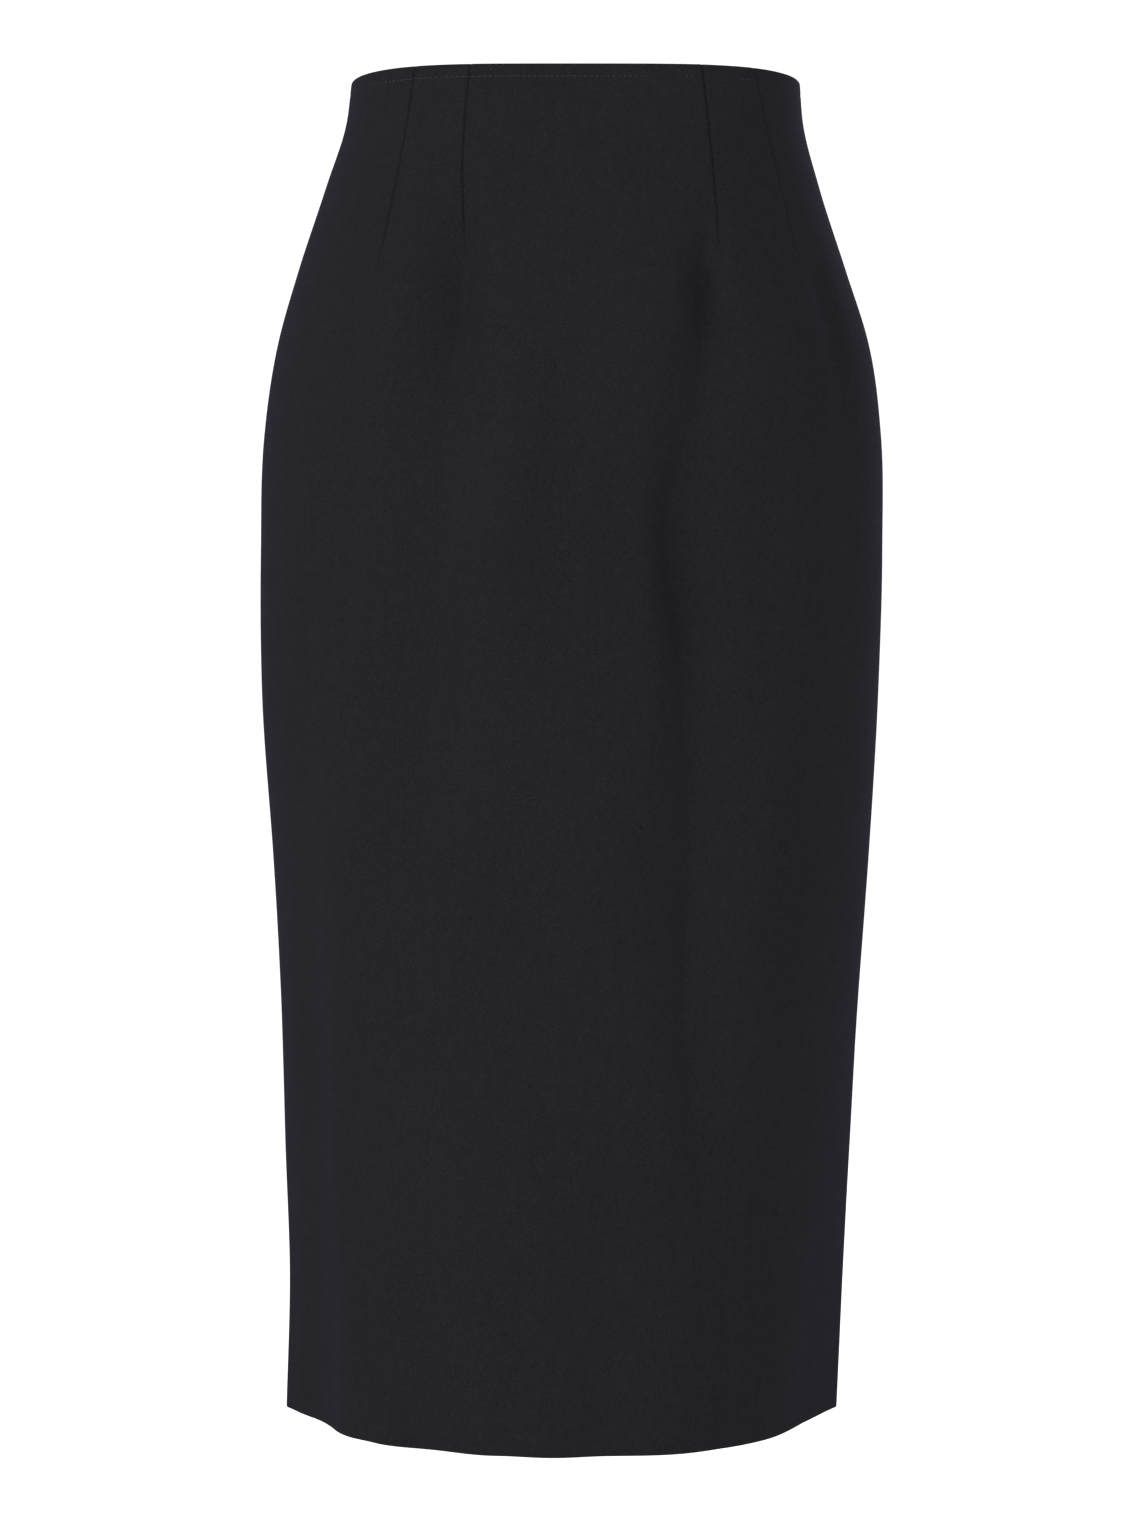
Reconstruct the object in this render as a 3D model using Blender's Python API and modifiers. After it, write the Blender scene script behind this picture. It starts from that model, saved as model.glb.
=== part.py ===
"""High-waisted pencil skirt, filled out as when worn.

Front panel with four darts, two back panels with two darts each, a concealed centre-back zip and a
centre-back vent. Metres, +Z up. The origin is the centre of the waist edge, the front faces -Y and the
wearer's left is +X.
"""
import functools
import math

import bmesh
import bpy
import numpy as np
from mathutils import Matrix, Vector

# ---- Driving dimensions -----------------------------------------------------------------------------
LENGTH = 0.7244            # waist edge to hem
CLOTH = 0.0014             # one thickness of crepe
DOUBLED = 0.0026           # where the cloth is turned in on itself
SEAM_GAP = 0.0003          # between two panels
SEAM_DIP = 0.0004          # a pressed seam lies this much lower than the cloth beside it
SEAM_MARGIN = 0.0020       # width of the dipped cloth beside a seam
TOP_TURNING = 0.010        # cloth turned in at the waist edge
HEM_TURNING = 0.038        # cloth turned up at the hem
TURNING_STEP = 0.004       # height over which the wall goes from doubled to single

VENT_TOP = 0.545           # below the waist edge
VENT_UNDERLAP = 0.040      # cloth of the right back that lies under the left back
VENT_FACING = 0.034        # cloth of the left back turned in along the vent
VENT_STEP = 0.014          # height and width over which the right back steps under the left back
VENT_DEPTH = DOUBLED + 0.0007
UNDERLAP_COLUMNS = 3

DART_HALF_WIDTH = 0.0013
DART_DEPTH = 0.0008
DART_FADE = 0.020          # length over which a dart runs out at its tip
BELOW_DART = 0.040         # height over which a dart's columns spread out below its tip
BELOW_DART_SPREAD = 0.009

ZIP_END = 0.195            # below the waist edge
ZIP_GAP = 0.0003           # zip to cloth
CHAIN_TO_SLIDER = 0.0006   # down the cloth, which curves between them
CHAIN_HALF_WIDTH = 0.0023
CHAIN_THICKNESS = 0.0016
TAPE_START = 0.0145
TAPE_FROM_CENTRE = 0.0029
TAPE_WIDTH = 0.0115
TAPE_THICKNESS = 0.0010
TAPE_PAST_CHAIN = 0.004

SLIDER_DROP = 0.0190       # middle of the slider below the waist edge
SLIDER_HALF_LENGTH = 0.0045
SLIDER_HALF_WIDTH = 0.0023
SLIDER_THICKNESS = 0.0024
SLIDER_BEVEL = 0.0006
PARTED_EDGES = (           # drop, half the gap between the back edges: the slider holds them apart
    (0.0000, 0.0005),
    (0.0120, 0.0015),
    (0.0280, 0.0015),
    (0.0450, SEAM_GAP / 2),
)
BRIDGE_HALF_WIDTH = 0.0006
BRIDGE_HALF_LENGTH = 0.0032
BRIDGE_BAR = 0.0010        # thickness of its legs and of its outer bar
BRIDGE_HEIGHT = 0.0031     # above the cloth

PULL_THICKNESS = 0.0009
PULL_BAR = 0.0009          # height of the cross bar that the bridge traps
PULL_BAR_PLAY = 0.00035
PULL_OFF_CLOTH = 0.0010    # axis above the cloth
PULL_WINDOW = (0.0012, 0.0060)   # half width, and reach below the axis
PULL_REST_TILT = math.radians(4.0)   # the cloth below the slider swells out and tips the pull this far
PULL_OUTLINE = (           # below the axis, half width
    (-0.00045, 0.0021),
    (0.0070, 0.0022),
    (0.0110, 0.0025),
    (0.0150, 0.0032),
    (0.0185, 0.0036),
    (0.0210, 0.0034),
    (0.0228, 0.0025),
    (0.0236, 0.0010),
)

# Outline of the filled skirt at each height. "drop" is below the waist edge. "half" is half the width,
# "centre" the sideways place of its middle, "front" and "back" the depths from the middle. Each quarter of
# the outline is depth * (1 - (x / half) ** power) ** pinch. "turn" is how far the cloth is turned round.
SECTION_COLUMNS = ("drop", "half", "centre", "front", "back", "power", "pinch", "turn")
SECTIONS = (
    (0.000, 0.1210, 0.0004, 0.0857, 0.0810, 4.00, 0.50, 0.0063),
    (0.022, 0.1234, -0.0001, 0.0910, 0.0860, 3.60, 0.50, 0.0075),
    (0.055, 0.1331, -0.0012, 0.0990, 0.0965, 3.10, 0.50, 0.0095),
    (0.100, 0.1481, -0.0014, 0.1070, 0.1110, 2.70, 0.50, 0.0105),
    (0.140, 0.1602, -0.0008, 0.1125, 0.1215, 2.45, 0.50, 0.0102),
    (0.190, 0.1676, -0.0012, 0.1160, 0.1290, 2.35, 0.51, 0.0094),
    (0.250, 0.1692, -0.0018, 0.1175, 0.1310, 2.30, 0.52, 0.0080),
    (0.330, 0.1682, -0.0026, 0.1165, 0.1270, 2.35, 0.55, 0.0058),
    (0.420, 0.1630, -0.0021, 0.1140, 0.1190, 2.50, 0.62, 0.0034),
    (0.500, 0.1584, -0.0030, 0.1110, 0.1115, 2.75, 0.74, 0.0014),
    (0.580, 0.1554, -0.0041, 0.1085, 0.1055, 3.10, 0.88, 0.0000),
    (0.650, 0.1527, -0.0048, 0.1070, 0.1015, 3.35, 1.04, 0.0000),
    (0.7244, 0.1522, -0.0074, 0.1056, 0.0985, 3.55, 1.22, 0.0000),
)
SIDE_NOSE = 0.0020         # half the height of the flat fold of cloth along each side seam
QUARTER_POINTS = 60

# Darts: arc from the panel's centre line at the waist edge and at the tip, and the length down to the tip.
DART_COLUMNS = ("panel", "at_top", "at_tip", "tip")
DARTS = (
    ("front", -0.0914, -0.1165, 0.110),
    ("front", -0.0607, -0.0668, 0.102),
    ("front", 0.0592, 0.0668, 0.102),
    ("front", 0.0893, 0.1175, 0.108),
    ("back_left", -0.0900, -0.1010, 0.115),
    ("back_left", -0.0570, -0.0640, 0.130),
    ("back_right", 0.0570, 0.0640, 0.130),
    ("back_right", 0.0900, 0.1010, 0.115),
)

# Folds: soft troughs (depth below 0) and ridges. "at" columns are arcs from the centre front or back, and
# "start", "peak" and "end" are drops. An end past the hem runs out through it.
FOLD_COLUMNS = ("side", "start", "peak", "end", "at_start", "at_peak", "at_end", "half_width", "depth")
FOLDS = (
    ("front", 0.070, 0.200, 0.560, 0.062, 0.053, 0.070, 0.030, -0.0042),
    ("front", 0.040, 0.150, 0.400, -0.069, -0.064, -0.062, 0.024, -0.0030),
    ("front", 0.070, 0.125, 0.230, 0.122, 0.138, 0.152, 0.015, -0.0022),
    ("front", 0.380, 0.720, 0.900, -0.130, -0.128, -0.128, 0.022, 0.0022),
    ("front", 0.430, 0.740, 0.900, -0.074, -0.070, -0.070, 0.036, -0.0054),
    ("front", 0.380, 0.740, 0.900, -0.004, -0.004, -0.004, 0.030, 0.0038),
    ("front", 0.440, 0.740, 0.900, 0.110, 0.116, 0.116, 0.032, 0.0038),
    ("back", 0.120, 0.260, 0.520, -0.060, -0.066, -0.072, 0.032, -0.0036),
    ("back", 0.135, 0.235, 0.480, 0.064, 0.059, 0.066, 0.028, -0.0032),
    ("back", 0.460, 0.740, 0.900, -0.086, -0.082, -0.082, 0.036, -0.0032),
    ("back", 0.430, 0.740, 0.900, 0.092, 0.088, 0.088, 0.038, -0.0036),
)

# Rows of the panels: each band ends at a drop and is cut into so many rows.
ROW_BANDS = (
    (TOP_TURNING, 1),
    (TOP_TURNING + TURNING_STEP, 1),
    (0.314, 19),
    (VENT_TOP, 8),
    (VENT_TOP + VENT_STEP, 1),
    (LENGTH - HEM_TURNING - TURNING_STEP, 5),
    (LENGTH - HEM_TURNING, 1),
    (LENGTH, 2),
)


# ---- The filled outline -----------------------------------------------------------------------------
def table(columns, rows):
    """Rows of a table as dictionaries by column name."""
    return [dict(zip(columns, row)) for row in rows]


SECTION_ROWS = table(SECTION_COLUMNS, SECTIONS)
SECTION_DROPS = np.array([row["drop"] for row in SECTION_ROWS])


def section(name, drop):
    """One column of SECTIONS at any drop, by a smooth cubic through its rows."""
    values = np.array([row[name] for row in SECTION_ROWS])
    slopes = np.gradient(values, SECTION_DROPS)
    drop = min(max(drop, 0.0), LENGTH)
    i = min(int(np.searchsorted(SECTION_DROPS, drop, side="right")) - 1, len(values) - 2)
    step = SECTION_DROPS[i + 1] - SECTION_DROPS[i]
    t = (drop - SECTION_DROPS[i]) / step
    return float((1 + 2 * t) * (1 - t) ** 2 * values[i] + t * (1 - t) ** 2 * step * slopes[i]
                 + t * t * (3 - 2 * t) * values[i + 1] - t * t * (1 - t) * step * slopes[i + 1])


class Ring:
    """The skirt's outline at one height, measured by arc from the centre front towards +X."""

    def __init__(self, drop):
        self.centre = section("centre", drop)
        self.turn = section("turn", drop)
        half, power, pinch = (section(name, drop) for name in ("half", "power", "pinch"))
        u = np.sin(np.linspace(0.0, math.pi / 2, QUARTER_POINTS))
        bow = np.clip(1 - u ** power, 0.0, None) ** pinch
        front = np.stack([half * u, -SIDE_NOSE - (section("front", drop) - SIDE_NOSE) * bow], axis=1)
        back = np.stack([half * u, SIDE_NOSE + (section("back", drop) - SIDE_NOSE) * bow], axis=1)
        points = np.concatenate([front, [[half, 0.0]], back[::-1]])
        arcs = np.concatenate([[0.0], np.cumsum(np.linalg.norm(np.diff(points, axis=0), axis=1))])
        self.points, self.arcs = points, arcs
        self.front = float(arcs[QUARTER_POINTS])
        self.back = float(arcs[-1]) - self.front

    def point(self, arc):
        """Place on the outline at an arc from its centre front."""
        whole = 2 * self.arcs[-1]
        arc = (arc + whole / 2) % whole - whole / 2
        x = math.copysign(np.interp(abs(arc), self.arcs, self.points[:, 0]), arc)
        return np.array([self.centre + x, np.interp(abs(arc), self.arcs, self.points[:, 1])])

    def outward(self, arc):
        """Level direction out of the cloth."""
        reach = 0.0008
        along = self.point(arc + reach) - self.point(arc - reach)
        along /= np.linalg.norm(along)
        return np.array([along[1], -along[0]])


@functools.lru_cache(maxsize=None)
def ring_at(drop):
    return Ring(drop)


def ease(t):
    """0 to 1 with level ends."""
    t = min(max(t, 0.0), 1.0)
    return t * t * (3 - 2 * t)


def fold_depth(side, arc, drop):
    """How far the folds move the cloth out, at an arc from the centre front or back."""
    total = 0.0
    for fold in table(FOLD_COLUMNS, FOLDS):
        if fold["side"] != side or not fold["start"] < drop < fold["end"]:
            continue
        if drop < fold["peak"]:
            strength = ease((drop - fold["start"]) / (fold["peak"] - fold["start"]))
        else:
            strength = ease((fold["end"] - drop) / (fold["end"] - fold["peak"]))
        middle = np.interp(drop, [fold["start"], fold["peak"], fold["end"]],
                           [fold["at_start"], fold["at_peak"], fold["at_end"]])
        across = abs(arc - middle) / fold["half_width"]
        if across < 1:
            total += fold["depth"] * strength * 0.5 * (1 + math.cos(math.pi * across))
    return total


def cloth_point(side, arc, drop, outward=0.0):
    """Point of the skirt's outer face, at an arc from the centre front or centre back."""
    ring = ring_at(drop)
    around = arc + ring.turn + (ring.front + ring.back if side == "back" else 0.0)
    place = ring.point(around) + ring.outward(around) * (fold_depth(side, arc, drop) + outward)
    return Vector((place[0], place[1], -drop))


# ---- Panels -----------------------------------------------------------------------------------------
def row_drops(bands):
    """Drops of the rows from the waist edge down."""
    drops = [0.0]
    for end, count in bands:
        first = drops[-1]
        drops += [first + (end - first) * (k + 1) / count for k in range(count)]
    return drops


def spaced(lines, counts):
    """Columns that follow lines of (arc, half spread), with so many even steps between them."""
    stations = [[arc - spread, arc, arc + spread] if spread else [arc] for arc, spread in lines]
    columns = list(stations[0])
    for station, count in zip(stations[1:], counts):
        first = columns[-1]
        columns += [first + (station[0] - first) * (k + 1) / count for k in range(count)]
        columns += station[1:]
    return columns


def quarter_arc(panel, drop):
    """Arc from the panel's centre line to its side seam."""
    return ring_at(drop).front if panel == "front" else ring_at(drop).back


def dart_lines(panel, drop):
    """Arc and half spread of the three columns of each dart, which run on below its tip."""
    lines = []
    for dart in table(DART_COLUMNS, DARTS):
        if dart["panel"] != panel:
            continue
        if drop < dart["tip"]:
            arc = dart["at_top"] + (dart["at_tip"] - dart["at_top"]) * drop / dart["tip"]
        else:
            arc = dart["at_tip"] * quarter_arc(panel, drop) / quarter_arc(panel, dart["tip"])
        loose = ease((drop - dart["tip"]) / BELOW_DART)
        lines.append((arc, DART_HALF_WIDTH + (BELOW_DART_SPREAD - DART_HALF_WIDTH) * loose))
    return lines


def zip_half_gap(drop):
    """Half the gap between the back panels at one height."""
    return float(np.interp(drop, *zip(*PARTED_EDGES)))


def front_columns(drop):
    edge = quarter_arc("front", drop) - SEAM_GAP / 2
    lines = [(-edge, 0), (SEAM_MARGIN - edge, 0)] + dart_lines("front", drop)
    lines += [(edge - SEAM_MARGIN, 0), (edge, 0)]
    return spaced(lines, (1, 5, 3, 10, 3, 5, 1))


def back_left_columns(drop):
    edge = quarter_arc("back_left", drop) - SEAM_GAP / 2
    gap = zip_half_gap(drop)
    lines = [(-edge, 0), (SEAM_MARGIN - edge, 0)] + dart_lines("back_left", drop)
    lines += [(-VENT_FACING, 0), (-gap - SEAM_MARGIN, 0), (-gap, 0)]
    return spaced(lines, (1, 5, 3, 2, 2, 1))


def back_right_columns(drop):
    edge = quarter_arc("back_right", drop) - SEAM_GAP / 2
    gap = zip_half_gap(drop)
    lines = [(-VENT_UNDERLAP, 0), (gap, 0), (gap + SEAM_MARGIN, 0), (VENT_STEP, 0)]
    lines += dart_lines("back_right", drop) + [(edge - SEAM_MARGIN, 0), (edge, 0)]
    return spaced(lines, (UNDERLAP_COLUMNS, 1, 1, 3, 3, 5, 1))


def dart_groove(panel, arc, drop):
    """How far a dart's pressed line lies below the cloth around it."""
    for dart, (middle, spread) in zip(
            [d for d in table(DART_COLUMNS, DARTS) if d["panel"] == panel], dart_lines(panel, drop)):
        if drop < dart["tip"] and abs(arc - middle) < spread:
            fade = min(1.0, (dart["tip"] - drop) / DART_FADE)
            return DART_DEPTH * fade * (1 - abs(arc - middle) / spread)
    return 0.0


def vent_depth(arc, drop):
    """How far the right back lies under the left back at the vent."""
    down = ease((drop - VENT_TOP) / VENT_STEP)
    across = ease((VENT_STEP - arc) / (VENT_STEP - SEAM_MARGIN - SEAM_GAP))
    return VENT_DEPTH * down * across


def is_doubled(panel, arc, drop):
    """Whether the cloth is turned in on itself here."""
    slack = 1e-6
    at_edge = drop < TOP_TURNING + slack or drop > LENGTH - HEM_TURNING - slack
    at_vent = panel == "back_left" and drop > VENT_TOP - slack and arc > -VENT_FACING - slack
    return at_edge or at_vent


def add_object(name, data, material, collection):
    obj = bpy.data.objects.new(name, data)
    obj.data.materials.append(material)
    collection.objects.link(obj)
    return obj


def add_sheet(name, columns_at, drops, place, thickness, material, collection, share=None, spare=None):
    """A wall of cloth: a grid of rows and columns, thickened inwards.

    place(column, arc, drop) gives a point of the outer face, share(arc, drop) the part of the thickness
    there, and spare(column, drop) says which points of the grid the cut leaves out.
    """
    columns = len(columns_at(drops[0]))
    grid = bmesh.new()
    bmesh.ops.create_grid(grid, x_segments=columns - 1, y_segments=len(drops) - 1)
    weights = grid.verts.layers.deform.verify()
    left_out = []
    for vert in grid.verts:
        row, column = divmod(vert.index, columns)
        drop = drops[len(drops) - 1 - row]
        arc = columns_at(drop)[column]
        vert.co = place(column, arc, drop)
        vert[weights][0] = share(arc, drop) if share else 1.0
        if spare and spare(column, drop):
            left_out.append(vert)
    bmesh.ops.delete(grid, geom=left_out, context="VERTS")
    mesh = bpy.data.meshes.new(name)
    grid.to_mesh(mesh)
    grid.free()
    mesh.shade_smooth()

    obj = add_object(name, mesh, material, collection)
    wall = obj.modifiers.new("wall", "SOLIDIFY")
    wall.thickness = thickness
    wall.offset = -1.0
    wall.use_even_offset = True
    wall.vertex_group = obj.vertex_groups.new(name="wall").name
    return obj


def add_panel(name, columns_at, material, collection):
    """One cut panel, with its darts, folds, turnings and pressed seam edges."""
    side = name.split("_")[0]
    has_underlap = name == "back_right"
    seam_columns = (UNDERLAP_COLUMNS if has_underlap else 0, len(columns_at(0.0)) - 1)

    def place(column, arc, drop):
        inward = dart_groove(name, arc, drop)
        if column in seam_columns:
            inward += SEAM_DIP
        if has_underlap:
            inward += vent_depth(arc, drop)
        return cloth_point(side, arc, drop, -inward)

    def share(arc, drop):
        return 1.0 if is_doubled(name, arc, drop) else CLOTH / DOUBLED

    def spare(column, drop):
        return has_underlap and column < UNDERLAP_COLUMNS and drop < VENT_TOP + VENT_STEP / 2

    return add_sheet(name, columns_at, row_drops(ROW_BANDS), place, DOUBLED, material, collection,
                     share, spare)


# ---- Zip --------------------------------------------------------------------------------------------
def add_zip_strip(name, first_arc, last_arc, start, end, inward, thickness, material, collection):
    """A strip of the zip behind the back panels, on the same rows as they are."""
    drops = [start] + [drop for drop in row_drops(ROW_BANDS) if start + 0.001 < drop < end - 0.001] + [end]
    arcs = [first_arc, (first_arc + last_arc) / 2, last_arc]

    def place(column, arc, drop):
        return cloth_point("back", arc, drop, -inward)

    return add_sheet(name, lambda drop: arcs, drops, place, thickness, material, collection)


def zip_frame():
    """Place and turn of the slider: x across the back, y up along the cloth, z out of it."""
    reach = 0.004
    above = cloth_point("back", 0.0, SLIDER_DROP - reach)
    below = cloth_point("back", 0.0, SLIDER_DROP + reach)
    up = Vector((0.0, above.y - below.y, above.z - below.z)).normalized()
    across = Vector((-1.0, 0.0, 0.0))
    turn = Matrix((across, up, across.cross(up))).transposed().to_4x4()
    return Matrix.Translation(cloth_point("back", 0.0, SLIDER_DROP)) @ turn


def add_block(name, low, high, frame, material, collection):
    """A box between two corners in a frame."""
    block = bmesh.new()
    bmesh.ops.create_cube(block, size=1.0)
    low, high = Vector(low), Vector(high)
    for vert in block.verts:
        vert.co = Vector((low[i] + (high[i] - low[i]) * (vert.co[i] + 0.5) for i in range(3)))
    mesh = bpy.data.meshes.new(name)
    block.to_mesh(mesh)
    block.free()
    obj = add_object(name, mesh, material, collection)
    obj.matrix_world = frame
    return obj


def join_or_cut(obj, other, operation):
    other.hide_render = True
    other.display_type = "WIRE"
    boolean = obj.modifiers.new(other.name, "BOOLEAN")
    boolean.operation = operation
    boolean.object = other


def add_slider(frame, material, collection, cutters):
    """Slider behind the cloth, with the bridge that stands through the parted seam."""
    face = -(CLOTH + SEAM_DIP + ZIP_GAP)
    slider = add_block("zip_slider", (-SLIDER_HALF_WIDTH, -SLIDER_HALF_LENGTH, face - SLIDER_THICKNESS),
                       (SLIDER_HALF_WIDTH, SLIDER_HALF_LENGTH, face), frame, material, collection)
    bevel = slider.modifiers.new("worn_edges", "BEVEL")
    bevel.width = SLIDER_BEVEL
    bevel.segments = 2
    bridge = add_block("bridge", (-BRIDGE_HALF_WIDTH, -BRIDGE_HALF_LENGTH, face - SLIDER_THICKNESS / 2),
                       (BRIDGE_HALF_WIDTH, BRIDGE_HALF_LENGTH, BRIDGE_HEIGHT), frame, material, cutters)
    opening = BRIDGE_HALF_LENGTH - BRIDGE_BAR
    hole = add_block("bridge_opening", (-2 * BRIDGE_HALF_WIDTH, -opening, face),
                     (2 * BRIDGE_HALF_WIDTH, opening, BRIDGE_HEIGHT - BRIDGE_BAR), frame, material, cutters)
    join_or_cut(slider, bridge, "UNION")
    join_or_cut(slider, hole, "DIFFERENCE")
    return slider


def add_pull(frame, material, collection):
    """Drop-shaped tab whose cross bar the bridge traps; its origin is on its hinge."""
    curve = bpy.data.curves.new("zip_pull", "CURVE")
    curve.dimensions = "2D"
    curve.fill_mode = "BOTH"
    curve.extrude = PULL_THICKNESS / 2
    down_right = [(half, -below) for below, half in PULL_OUTLINE]
    outline = down_right + [(-x, y) for x, y in reversed(down_right)]
    half, reach = PULL_WINDOW
    window = [(half, -PULL_BAR / 2), (half, -reach), (-half, -reach), (-half, -PULL_BAR / 2)]
    for points in (outline, window):
        spline = curve.splines.new("POLY")
        spline.points.add(len(points) - 1)
        for point, (x, y) in zip(spline.points, points):
            point.co = (x, y, 0.0, 1.0)
        spline.use_cyclic_u = True
    pull = add_object("zip_pull", curve, material, collection)
    axis = (0.0, -BRIDGE_HALF_LENGTH + BRIDGE_BAR + PULL_BAR_PLAY + PULL_BAR / 2, PULL_OFF_CLOTH)
    pull.matrix_world = frame @ Matrix.Translation(axis) @ Matrix.Rotation(-PULL_REST_TILT, 4, "X")
    return pull


# ---- Whole skirt ------------------------------------------------------------------------------------
def make_material(name, color, roughness, metallic=0.0):
    material = bpy.data.materials.new(name)
    material.use_nodes = True
    shader = material.node_tree.nodes["Principled BSDF"]
    shader.inputs["Base Color"].default_value = (*color, 1.0)
    shader.inputs["Roughness"].default_value = roughness
    shader.inputs["Metallic"].default_value = metallic
    return material


def new_collection(name):
    collection = bpy.data.collections.new(name)
    bpy.context.scene.collection.children.link(collection)
    return collection


def main():
    for obj in list(bpy.data.objects):
        bpy.data.objects.remove(obj, do_unlink=True)
    skirt = new_collection("pencil_skirt")
    cutters = new_collection("cutters")

    cloth = make_material("wool_crepe", (0.019, 0.018, 0.021), 0.92)
    add_panel("front", front_columns, cloth, skirt)
    add_panel("back_left", back_left_columns, cloth, skirt)
    add_panel("back_right", back_right_columns, cloth, skirt)

    tape = make_material("zip_tape", (0.013, 0.013, 0.015), 0.85)
    behind = CLOTH + ZIP_GAP
    outer = TAPE_FROM_CENTRE + TAPE_WIDTH
    for name, first, last in (("zip_tape_left", -outer, -TAPE_FROM_CENTRE),
                              ("zip_tape_right", TAPE_FROM_CENTRE, outer)):
        add_zip_strip(name, first, last, TAPE_START, ZIP_END + TAPE_PAST_CHAIN, behind, TAPE_THICKNESS,
                      tape, skirt)
    coil = make_material("zip_coil", (0.016, 0.016, 0.018), 0.45)
    chain_start = SLIDER_DROP + SLIDER_HALF_LENGTH + CHAIN_TO_SLIDER
    add_zip_strip("zip_chain", -CHAIN_HALF_WIDTH, CHAIN_HALF_WIDTH, chain_start, ZIP_END,
                  behind + SEAM_DIP, CHAIN_THICKNESS, coil, skirt)

    metal = make_material("zip_metal", (0.030, 0.030, 0.033), 0.35, metallic=1.0)
    frame = zip_frame()
    add_slider(frame, metal, skirt, cutters)
    add_pull(frame, metal, skirt)


main()
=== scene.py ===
"""High-waisted pencil skirt in black wool crepe: cloth, sewing, zip, light and camera."""
import functools
import math

import bmesh
import bpy
import numpy as np
from mathutils import Matrix, Vector, noise


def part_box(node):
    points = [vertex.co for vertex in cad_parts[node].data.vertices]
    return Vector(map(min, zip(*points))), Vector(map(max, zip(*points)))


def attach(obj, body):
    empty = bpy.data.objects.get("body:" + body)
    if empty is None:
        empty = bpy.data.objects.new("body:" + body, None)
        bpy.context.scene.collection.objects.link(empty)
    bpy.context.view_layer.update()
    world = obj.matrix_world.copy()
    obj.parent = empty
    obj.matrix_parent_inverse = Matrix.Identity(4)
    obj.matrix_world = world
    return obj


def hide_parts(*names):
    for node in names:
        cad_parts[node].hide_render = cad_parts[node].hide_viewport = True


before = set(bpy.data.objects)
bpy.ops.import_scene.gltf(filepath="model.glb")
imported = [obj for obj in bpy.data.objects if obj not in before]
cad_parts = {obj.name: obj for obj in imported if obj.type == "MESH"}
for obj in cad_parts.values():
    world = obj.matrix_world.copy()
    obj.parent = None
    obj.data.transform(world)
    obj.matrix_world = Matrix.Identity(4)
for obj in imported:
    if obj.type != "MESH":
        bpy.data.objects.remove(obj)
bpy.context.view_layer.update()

# ---- Sizes, in metres unless they say otherwise ----
MILLIMETRES = 1000  # in a metre
PANELS = ("front", "back_left", "back_right")
LENGTH = -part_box("front")[0][2]  # waist edge to hem
PLY = 0.0013  # one thickness of crepe
SEAM_MEET = 0.00006  # how far two sewn edges press into each other
TAPE_CLEAR = 0.0003  # from a zip tape's edge to the turning beside it
TOP_TURNING = 0.010  # cloth turned in at the waist edge
HEM_TURNING = 0.038  # cloth turned up at the hem
SIDE_TURNING = 0.013  # cloth pressed open along a side seam
CENTRE_TURNING = 0.019  # and along the centre back
TURNING_EDGE = 0.0005  # length over which a turning's raw edge falls to the cloth
PLY_FADE = 0.003  # length over which a second ply sets in along a seam or a dart
EDGE_CLOSES = 0.98  # share of the wall's thickness that a rolled edge takes up

VENT_TOP = 0.545
VENT_UNDERLAP = 0.040
UNDERLAP_EDGE = (1.0, 0.99, 0.97)  # shares of its width with columns near its free edge
VENT_FACING = 0.034
VENT_STEP = 0.014  # length and width over which the underlap goes behind the lap
VENT_RAMP = VENT_STEP - 0.0023  # fully behind so far from the lap's edge
VENT_DEPTH = 2 * PLY + 0.0007  # how deep it lies there

ZIP_END = 0.195
PARTED_EDGES = (  # drop, half the gap between the back edges: the slider parts them
    (0.0000, -SEAM_MEET),
    (0.0150, -SEAM_MEET),
    (0.0162, 0.00075),
    (0.0226, 0.00075),
    (0.0250, -SEAM_MEET),
)
TAPE_FROM_CENTRE = 0.0029
TAPE_WIDTH = 0.0115
TAPE_THICKNESS = 0.0008
TAPE_START = 0.0145
TAPE_PAST_CHAIN = 0.004
TAPE_DEPTH = PLY + 0.0004  # outer face of the cloth to the tape
TAPE_COLUMNS = 10
TAPE_ROW_STEP = 0.0030
TAPE_RIBS = 3
TAPE_RIB_DEPTH = 0.00008
TAPE_ROLL_DEPTH = 0.0004  # the tape rolls under beside the coil, over this share of its width
TAPE_ROLL_SHARE = 0.12
COIL_DEPTH = 0.0029  # outer face of the cloth to the coil's middle
COIL_PITCH = 0.0013
COIL_DRAWN = 0.995  # share of that pitch when the closed coil is sewn down
COIL_START = 0.0238
COIL_STEPS = 12
COIL_MIDDLE = 0.00085  # a coil's middle from the centre, its reach sideways and its height
COIL_REACH = 0.00105
COIL_HEIGHT = 0.00055
COIL_WIRE = 0.00026

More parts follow.
